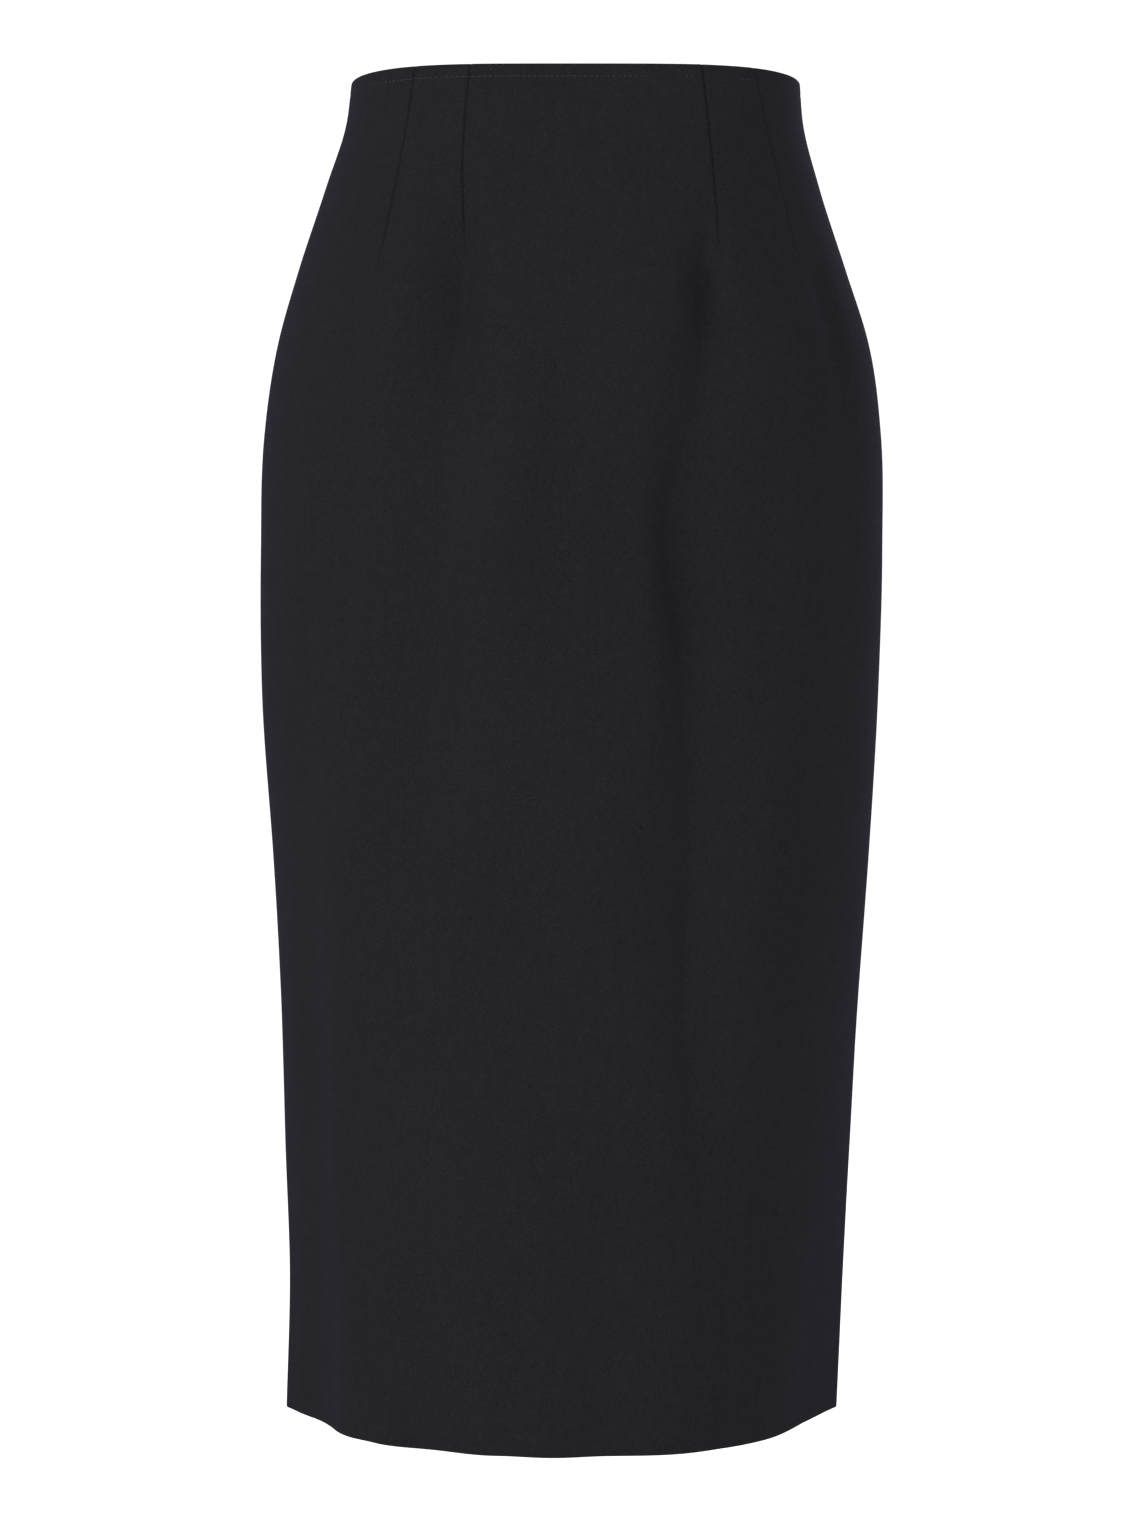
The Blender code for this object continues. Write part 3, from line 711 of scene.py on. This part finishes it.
def tube(shell, path, radii, sides):
    """A round tube along a path of points, with a radius at each and flat caps."""
    path = np.asarray(path, dtype=float)
    along = np.gradient(path, axis=0)
    along /= np.linalg.norm(along, axis=1)[:, None]
    # A direction that the path never runs along.
    helper = np.array([0.0, 0.0, 1.0]) if abs(along[:, 2]).max() < 0.9 else np.array([1.0, 0.3, 0.0])
    side = np.cross(along, helper)
    side /= np.linalg.norm(side, axis=1)[:, None]
    up = np.cross(side, along)
    turns = math.tau * np.arange(sides)[:, None] / sides
    rings = [shell.add_row(centre + radii[k] * (side[k] * np.cos(turns) + up[k] * np.sin(turns)))
             for k, centre in enumerate(path)]
    for a, b in zip(rings, rings[1:]):
        shell.faces += [(a[j], b[j], b[(j + 1) % sides], a[(j + 1) % sides]) for j in range(sides)]
    shell.faces += [tuple(rings[0]), tuple(reversed(rings[-1]))]


# ---- Sewing ----
STITCH_PROFILE = (  # share of a stitch's length, height over the cloth, share of the thread
    (0.00, -0.00022, 0.55),
    (0.10, -0.00004, 0.90),
    (0.30, 0.00010, 1.00),
    (0.50, 0.00013, 1.00),
    (0.70, 0.00010, 1.00),
    (0.90, -0.00004, 0.90),
    (1.00, -0.00022, 0.55),
)


def stitch_sink(arc):
    """How deep a stitch lies: evenly drawn in on one side, loose and uneven on the other."""
    number = arc / STITCH_PITCH
    loose = sum(depth * math.sin(turn * number) for turn, depth in STITCH_UNEVEN)
    return np.interp(arc, *zip(*STITCH_SINK)) + loose


def add_stitch(shell, panel, start, length, within):
    """One stitch along the cloth: on the outer face, or on the inner one where within is true."""
    share, height, thick = np.array(STITCH_PROFILE).T
    arcs = start + share * length
    height -= stitch_sink(start)
    outer, inner = face_depths(panel, arcs, STITCH_DROP)
    out_by = -(inner + height) if within else height - outer
    path = cloth_points(panel.split("_")[0], arcs, STITCH_DROP, out_by)
    tube(shell, path, THREAD_RADIUS * thick, ROUND_SIDES)


def waist_topstitching(material):
    """One row of topstitching below the waist edge, inside and out."""
    shell = Shell()
    for panel in PANELS:
        low, high = panel_edges(panel, STITCH_DROP)
        low += STITCH_FROM_ZIP if panel == "back_right" else STITCH_FROM_SIDE
        high -= STITCH_FROM_ZIP if panel == "back_left" else STITCH_FROM_SIDE
        count = round((high - low) / STITCH_PITCH)
        pitch = (high - low) / count
        for k in range(count):
            for within in (False, True):
                add_stitch(shell, panel, low + pitch * k + STITCH_GAP / 2, pitch - STITCH_GAP, within)
    return new_piece("waist_topstitching", shell, material)


# ---- Zip ----
def zip_tape(name, sign, material):
    """Woven tape behind one back panel, rolled over at the coil."""
    drops = row_drops(((ZIP_END + TAPE_PAST_CHAIN, TAPE_ROW_STEP),), TAPE_START)
    share = np.linspace(0.0, 1.0, TAPE_COLUMNS + 1)[::sign]
    arcs = sign * (TAPE_FROM_CENTRE + TAPE_WIDTH * share)
    rib = TAPE_RIB_DEPTH * np.cos(math.tau * share * TAPE_RIBS)
    roll = TAPE_ROLL_DEPTH * np.clip(1 - share / TAPE_ROLL_SHARE, 0.0, 1.0) ** 2
    shell = Shell()
    outer, inner = [], []
    for drop in drops:
        for row, depth in ((outer, TAPE_DEPTH + roll - rib), (inner, TAPE_DEPTH + TAPE_THICKNESS + roll)):
            row.append(shell.add_row(cloth_points("back", arcs, drop, -depth)))
    for k in range(len(drops) - 1):
        shell.wall(outer, inner, k, 0, TAPE_COLUMNS)
    shell.strip(inner[0], outer[0], range(TAPE_COLUMNS))
    shell.strip(outer[-1], inner[-1], range(TAPE_COLUMNS))
    return new_piece(name, shell, material)


def zip_coil(material):
    """The zip's two coils, whose loops lie between each other on the centre back."""
    shell = Shell()
    turns = round((ZIP_END - COIL_START) / COIL_PITCH)
    for sign in (-1, 1):
        path = []
        for k in range(turns * COIL_STEPS + 1):
            turn = math.tau * k / COIL_STEPS
            down = k / COIL_STEPS + (0.5 if sign > 0 else 0.0)
            arc = sign * (COIL_MIDDLE - COIL_REACH * math.cos(turn))
            depth = COIL_DEPTH + COIL_HEIGHT * math.sin(turn)
            drop = COIL_START + COIL_PITCH * down * COIL_DRAWN
            path.append(cloth_points("back", [arc], drop, -depth)[0])
        tube(shell, path, [COIL_WIRE] * len(path), ROUND_SIDES)
    return new_piece("zip_coils", shell, material)


SLIDER_DROP = 0.0190
SLIDER_FACE = -0.0021  # its outer face, out from the cloth's
SLIDER_HALF_LENGTH = 0.0045
SLIDER_HALF_WIDTH = 0.0023
SLIDER_THICKNESS = 0.0024
SLIDER_PLATE = 0.0007
SLIDER_ROUND = 0.00025
SLIDER_SHARP = math.radians(50)  # edges over this angle stay sharp
SLIDER_WALL = 0.0006  # its side walls: thickness, inset from the plates, share of the length
SLIDER_WALL_INSET = 0.0002
SLIDER_WALL_TOP = 0.45
SLIDER_WALL_ROUND = 0.00018
POST_INSET = 0.0006  # from the ends of the plates to the post between them
POST_ROUND = 0.0002
BRIDGE_HALF_WIDTH = 0.0006
BRIDGE_HALF_LENGTH = 0.0032
BRIDGE_BAR = 0.0010
BRIDGE_HEIGHT = 0.0031
BRIDGE_CORNER = 0.0009
BRIDGE_CORNER_STEPS = 6
BRIDGE_SIDES = 12
PULL_BAR = 0.0009
PULL_BAR_PLAY = 0.00035
PULL_OFF_CLOTH = 0.0010
PULL_REST_TILT = math.radians(4.0)
PULL_THICKNESS = 0.0009
PULL_ROUND = 0.00022
PULL_SHARP = math.radians(40)
PULL_WINDOW = (0.0012, 0.0060)  # half width, and reach below the axis
PULL_OUTLINE = (  # below the axis, half width
    (-0.00045, 0.0021),
    (0.0035, 0.0021),
    (0.0070, 0.0022),
    (0.0110, 0.0025),
    (0.0150, 0.0032),
    (0.0185, 0.0036),
    (0.0210, 0.0034),
    (0.0228, 0.0025),
    (0.0236, 0.0010),
)


def slider_frame():
    """Place and turn of the slider: x across the back, y up along the cloth, z out of it."""
    reach = 0.004
    low, mid, high = (Vector(smooth_back_point(SLIDER_DROP + d)) for d in (reach, 0.0, -reach))
    up = Vector((0.0, high.y - low.y, high.z - low.z)).normalized()
    across = Vector((-1.0, 0.0, 0.0))
    turn = Matrix((across, up, across.cross(up))).transposed().to_4x4()
    return Matrix.Translation(mid) @ turn


def smooth_back_point(drop):
    """Centre-back point of the smooth form, on which the zip's hard pieces are set."""
    ring = ring_at(drop)
    x, y = ring.places(np.array([ring.front + ring.back + ring.turn]))[0]
    return x, y, -drop


def add_rounded_block(whole, low, high, rounding):
    """Adds a box between two corners, with rounded edges, to a bmesh."""
    verts = bmesh.ops.create_cube(whole, size=1.0)["verts"]
    low, high = Vector(low), Vector(high)
    for vert in verts:
        vert.co = Vector((low[i] + (high[i] - low[i]) * (vert.co[i] + 0.5) for i in range(3)))
    edges = [edge for edge in whole.edges if edge.verts[0] in verts]
    bmesh.ops.bevel(whole, geom=edges, offset=rounding, segments=3, profile=0.5, affect="EDGES")


def zip_slider(material):
    """Slider body of two plates behind the cloth, with a bridge that stands through the seam."""
    face, back = SLIDER_FACE, SLIDER_FACE - SLIDER_THICKNESS
    wide, tall = SLIDER_HALF_WIDTH, SLIDER_HALF_LENGTH
    half_wall, inset = SLIDER_WALL / 2, SLIDER_WALL_INSET
    blocks = [  # two corners and the rounding: the plates, then the post between them
        ((-wide, -tall, face - SLIDER_PLATE), (wide, tall, face), SLIDER_ROUND),
        ((-wide, -tall, back), (wide, tall, back + SLIDER_PLATE), SLIDER_ROUND),
        ((-BRIDGE_HALF_WIDTH, -tall + POST_INSET, back + SLIDER_PLATE / 2),
         (BRIDGE_HALF_WIDTH, tall - POST_INSET, face - SLIDER_PLATE / 2), POST_ROUND),
    ]
    for wall in (half_wall - wide, wide - half_wall):
        blocks.append(((wall - half_wall, -tall + inset, back + inset),
                       (wall + half_wall, tall * SLIDER_WALL_TOP, face - inset), SLIDER_WALL_ROUND))
    whole = bmesh.new()
    for low, high, rounding in blocks:
        add_rounded_block(whole, low, high, rounding)
    bridge = Shell()
    half_bar, corner = BRIDGE_BAR / 2, BRIDGE_CORNER
    reach, top = BRIDGE_HALF_LENGTH - half_bar, BRIDGE_HEIGHT - half_bar
    path = [(0.0, -reach, face - half_wall), (0.0, -reach, 0.0)]
    for k in range(BRIDGE_CORNER_STEPS + 1):
        turn = math.pi / 2 * k / BRIDGE_CORNER_STEPS
        path.append((0.0, -reach + corner * (1 - math.cos(turn)), top - corner * (1 - math.sin(turn))))
    path += [(x, -y, z) for x, y, z in reversed(path)]
    tube(bridge, path, [half_bar] * len(path), BRIDGE_SIDES)
    verts = [whole.verts.new((x * BRIDGE_HALF_WIDTH / half_bar, y, z)) for x, y, z in bridge.points]
    for corners in bridge.faces:
        whole.faces.new([verts[i] for i in corners])
    mesh = bpy.data.meshes.new("zip_slider_body")
    whole.to_mesh(mesh)
    whole.free()
    slider = finished(mesh, material, SLIDER_SHARP)
    slider.matrix_world = slider_frame()
    return slider


def pull_frame():
    """The pull's place: its origin on its hinge, tipped as the cloth below it swells."""
    axis = (0.0, -BRIDGE_HALF_LENGTH + BRIDGE_BAR + PULL_BAR_PLAY + PULL_BAR / 2, PULL_OFF_CLOTH)
    return slider_frame() @ Matrix.Translation(axis) @ Matrix.Rotation(-PULL_REST_TILT, 4, "X")


def zip_pull(material):
    """Drop-shaped tab with rounded edges and a window round the bridge."""
    curve = bpy.data.curves.new("zip_pull_tab", "CURVE")
    curve.dimensions = "2D"
    curve.fill_mode = "BOTH"
    curve.extrude = PULL_THICKNESS / 2 - PULL_ROUND
    curve.bevel_depth = PULL_ROUND
    curve.bevel_resolution = 3
    curve.offset = -PULL_ROUND
    down_right = [(half, -below) for below, half in PULL_OUTLINE]
    outline = down_right + [(-x, y) for x, y in reversed(down_right)]
    half, reach = PULL_WINDOW
    window = [(half, -PULL_BAR / 2), (half, -reach), (-half, -reach), (-half, -PULL_BAR / 2)]
    for points in (outline, window):
        spline = curve.splines.new("POLY")
        spline.points.add(len(points) - 1)
        for point, (x, y) in zip(spline.points, points):
            point.co = (x, y, 0.0, 1.0)
        spline.use_cyclic_u = True
    holder = in_scene("zip_pull_outline", curve)
    mesh = bpy.data.meshes.new_from_object(holder.evaluated_get(bpy.context.evaluated_depsgraph_get()))
    bpy.data.objects.remove(holder)
    bpy.data.curves.remove(curve)
    mesh.name = "zip_pull_tab"
    mesh.materials.clear()
    pull = finished(mesh, material, PULL_SHARP)
    pull.matrix_world = pull_frame()
    return pull


# ---- Finishes ----
class Value:
    """A socket that Python can reckon with: each operation adds its Math node."""

    def __init__(self, finish, socket):
        self.finish, self.socket = finish, socket

    def math(self, operation, *others):
        sockets = dict(enumerate((self, *others)))
        node = self.finish.node("ShaderNodeMath", {"operation": operation}, sockets)
        return Value(self.finish, node.outputs[0])

    def __add__(self, other):
        return self.math("ADD", other)

    def __mul__(self, other):
        return self.math("MULTIPLY", other)

    def __sub__(self, other):
        return self.math("SUBTRACT", other)

    def __rsub__(self, other):
        return self * -1.0 + other

    __radd__ = __add__
    __rmul__ = __mul__

    def sine(self):
        return self.math("SINE")

    def between(self, low, high):
        """0 below low, 1 above high, with level ends."""
        node = self.finish.node("ShaderNodeMapRange", {"interpolation_type": "SMOOTHSTEP"},
                                {"Value": self, "From Min": low, "From Max": high})
        return Value(self.finish, node.outputs["Result"])


class Finish:
    """A material being put together around its Principled shader."""

    def __init__(self, name, **uniform):
        self.material = bpy.data.materials.new(name)
        self.material.use_nodes = True
        self.tree = self.material.node_tree
        self.shader = self.tree.nodes["Principled BSDF"]
        for socket, value in uniform.items():
            self.put(socket.replace("_", " "), value)
        self.place = self.node("ShaderNodeTexCoord").outputs["Object"]

    def feed(self, socket, value):
        if isinstance(value, Value):
            value = value.socket
        if isinstance(value, bpy.types.NodeSocket):
            self.tree.links.new(value, socket)
        elif socket.type == "RGBA":
            socket.default_value = (*value, 1.0)
        else:
            socket.default_value = value

    def put(self, name, value):
        """Sets or links one of the shader's own sockets."""
        self.feed(self.shader.inputs[name], value)

    def node(self, kind, settings=None, sockets=None):
        """A node of a type, with its settings first and then its sockets' values or links."""
        node = self.tree.nodes.new(kind)
        for name, value in (settings or {}).items():
            setattr(node, name, value)
        for key, value in (sockets or {}).items():
            self.feed(node.inputs[key], value)
        return node

    def noise(self, level, upright=None, detail=2.0, roughness=0.5):
        """Noise with so many grains a metre, in level directions and upright."""
        grains = (level, level, upright or level)
        place = self.node("ShaderNodeVectorMath", {"operation": "MULTIPLY"}, {0: self.place, 1: grains})
        sockets = {"Vector": place.outputs[0], "Scale": 1.0, "Detail": detail, "Roughness": roughness}
        node = self.node("ShaderNodeTexNoise", None, sockets)
        return Value(self, node.outputs["Fac"])

    def along(self, axis):
        """One coordinate of the place."""
        return Value(self, self.node("ShaderNodeSeparateXYZ", None, {0: self.place}).outputs[axis])

    def bump(self, height, distance, strength=1.0):
        """Relief of so many metres where the height runs from 0 to 1."""
        sockets = {"Strength": strength, "Distance": distance, "Height": height}
        self.put("Normal", self.node("ShaderNodeBump", None, sockets).outputs["Normal"])

    def color(self, share, shades):
        """Base colour between two shades, by a share from 0 to 1."""
        sockets = {"Factor": share, 6: shades[0], 7: shades[1]}
        self.put("Base Color", self.node("ShaderNodeMix", {"data_type": "RGBA"}, sockets).outputs[2])


# Darkest and lightest shade of each finish.
CREPE = ((0.0058, 0.0058, 0.0065), (0.0161, 0.0159, 0.0174))
THREAD = ((0.014, 0.014, 0.015), (0.062, 0.062, 0.065))
TAPE = ((0.009, 0.009, 0.010), (0.022, 0.022, 0.025))
COIL = ((0.010, 0.010, 0.011), (0.020, 0.020, 0.023))
METAL = ((0.013, 0.013, 0.014), (0.090, 0.088, 0.086))
FLOOR = ((0.90, 0.90, 0.90), (0.93, 0.93, 0.93))
TAPE_CROSS_RIBS = 0.00058  # from one rib of the tape's weave to the next, and from warp to warp
TAPE_WARPS = 0.00074


def wool_crepe():
    """Matt black crepe: pebbled by its twisted yarns, with a faint nap and uneven dye."""
    cloth = Finish("wool_crepe", Specular_IOR_Level=0.01, Sheen_Weight=0.016, Sheen_Roughness=0.42,
                   Sheen_Tint=(0.20, 0.10, 1.0))
    pebble = cloth.noise(1500, roughness=0.6)
    warp = cloth.noise(2300, 620, detail=1.0)
    weft = cloth.noise(700, 2300, detail=1.0)
    weave = pebble * 0.5 + warp * 0.28 + weft * 0.22
    nap = cloth.noise(210, 130, detail=3.0, roughness=0.65)
    dye = cloth.noise(14, 9)
    lightness = weave.between(0.30, 0.72) * 0.66 + nap * 0.26 + dye.between(0.3, 0.7) * 0.05
    cloth.color(lightness, CREPE)
    cloth.put("Roughness", 0.88 + nap * 0.10)
    cloth.bump(weave.between(0.28, 0.74) + nap * 0.35, 0.00016, 0.85)
    return cloth.material


def sewing_thread():
    """Black polyester thread, a little glossier than the cloth, with the twist of its plies."""
    thread = Finish("sewing_thread", Specular_IOR_Level=0.12)
    twist = (thread.along("X") * 5200 + thread.along("Y") * 3900 + thread.along("Z") * 9000).sine()
    fuzz = thread.noise(4200)
    thread.color(twist * 0.35 + fuzz * 0.5, THREAD)
    thread.put("Roughness", 0.52 + fuzz * 0.2)
    thread.bump(twist * 0.5 + fuzz * 0.4, 0.00005)
    return thread.material


def woven_tape():
    """Polyester zip tape: fine crosswise ribs between its warps."""
    tape = Finish("woven_tape", Specular_IOR_Level=0.35)
    ribs = (tape.along("Z") * (math.tau / TAPE_CROSS_RIBS)).sine()
    warps = (tape.along("X") * (math.tau / TAPE_WARPS)).sine()
    fibre = tape.noise(3100)
    lightness = ribs * 0.22 + warps * ribs * 0.20 + fibre * 0.45 + 0.2
    tape.color(lightness, TAPE)
    tape.put("Roughness", 0.68 + fibre * 0.2)
    tape.bump(ribs * 0.5 + warps * 0.3 + fibre * 0.3, 0.00007)
    return tape.material


def coil_nylon():
    """Dyed nylon monofilament with faint drawing lines."""
    coil = Finish("coil_nylon", Specular_IOR_Level=0.5)
    haze = coil.noise(900)
    lines = coil.noise(600, 6000, detail=1.0)
    coil.color(haze, COIL)
    coil.put("Roughness", 0.30 + haze * 0.15 + lines * 0.08)
    coil.bump(lines, 0.00002)
    return coil.material


def lacquered_metal():
    """Black lacquered zinc: orange peel, dulled by handling and faintly worn to bare metal."""
    metal = Finish("lacquered_metal", Specular_IOR_Level=0.5, Coat_Weight=0.25, Coat_Roughness=0.25)
    peel = metal.noise(2600)
    wear = metal.noise(420, detail=4.0, roughness=0.7)
    bare = wear.between(0.64, 0.74)
    metal.color(bare, METAL)
    metal.put("Roughness", 0.30 + wear * 0.22)
    metal.put("Metallic", 0.35 + bare * 0.6)
    metal.bump(peel * 0.4 - bare * 0.5, 0.00003)
    return metal.material


def studio_white():
    """Plain pale floor."""
    floor = Finish("studio_white", Specular_IOR_Level=0.1)
    mottle = floor.noise(7)
    floor.color(mottle, FLOOR)
    floor.put("Roughness", 0.85 + mottle * 0.1)
    return floor.material


# ---- Studio ----
CAMERA_PLACE = (-0.0024, -1.8656, -0.2553)
CAMERA_PITCH = 0.0593  # downwards
CAMERA_LENS = 80.71
SENSOR_LONG_SIDE = 36.0
LIGHTS = (  # name, place, size, power, colour
    ("window_light", (-2.3, -1.9, 0.7), (1.8, 2.4), 62.0, (1.0, 0.99, 1.0)),
    ("fill_light", (2.3, -2.2, 0.3), (1.6, 2.2), 22.0, (1.0, 0.99, 1.0)),
    ("rear_light", (1.6, 2.6, 0.8), (2.2, 2.2), 26.0, (1.0, 1.0, 1.0)),
)
LIGHT_AIM = (0.0, 0.0, -0.35)
SURROUND_STRENGTH = 1.135
FLOOR_BELOW_HEM = 0.40
FLOOR_SIZE = 9.0


def add_camera():
    camera = in_scene("studio_camera", bpy.data.cameras.new("studio_camera"))
    camera.location = CAMERA_PLACE
    camera.rotation_euler = (math.pi / 2 - CAMERA_PITCH, 0.0, 0.0)
    camera.data.lens = CAMERA_LENS
    camera.data.sensor_width = SENSOR_LONG_SIDE
    bpy.context.scene.camera = camera


def add_light(name, place, size, power, color):
    light = bpy.data.lights.new(name, "AREA")
    light.shape = "RECTANGLE"
    light.size, light.size_y = size
    light.energy = power
    light.color = color
    lamp = in_scene(name, light)
    lamp.location = place
    lamp.rotation_euler = (Vector(LIGHT_AIM) - Vector(place)).to_track_quat("-Z", "Y").to_euler()


def add_studio():
    scene = bpy.context.scene
    scene.view_settings.view_transform = "Standard"
    scene.world = bpy.data.worlds.new("white_studio")
    scene.world.use_nodes = True
    surround = scene.world.node_tree.nodes["Background"]
    surround.inputs["Color"].default_value = (1.0, 1.0, 1.0, 1.0)
    surround.inputs["Strength"].default_value = SURROUND_STRENGTH
    for light in LIGHTS:
        add_light(*light)

    floor = bmesh.new()
    bmesh.ops.create_grid(floor, x_segments=2, y_segments=2, size=FLOOR_SIZE / 2)
    mesh = bpy.data.meshes.new("studio_floor")
    floor.to_mesh(mesh)
    floor.free()
    mesh.materials.append(studio_white())
    ground = in_scene("studio_floor", mesh)
    ground.location.z = -LENGTH - FLOOR_BELOW_HEM


# ---- Whole skirt ----
def main():
    add_camera()
    add_studio()
    crepe, thread, tape = wool_crepe(), sewing_thread(), woven_tape()
    nylon, metal = coil_nylon(), lacquered_metal()

    panels = {name: cloth_shell(name, crepe) for name in PANELS}
    for name, panel in panels.items():
        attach(panel, "skirt")
        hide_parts(name)

    stitches = waist_topstitching(thread)
    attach(stitches, "skirt")

    tapes = []
    for node, sign in (("zip_tape_left", -1), ("zip_tape_right", 1)):
        tapes.append(zip_tape(node + "_woven", sign, tape))
        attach(tapes[-1], "skirt")
        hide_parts(node)

    coils = zip_coil(nylon)
    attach(coils, "skirt")
    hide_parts("zip_chain")

    slider = zip_slider(metal)
    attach(slider, "skirt")
    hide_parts("zip_slider")

    pull = zip_pull(metal)
    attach(pull, "pull")
    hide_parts("zip_pull")


main()
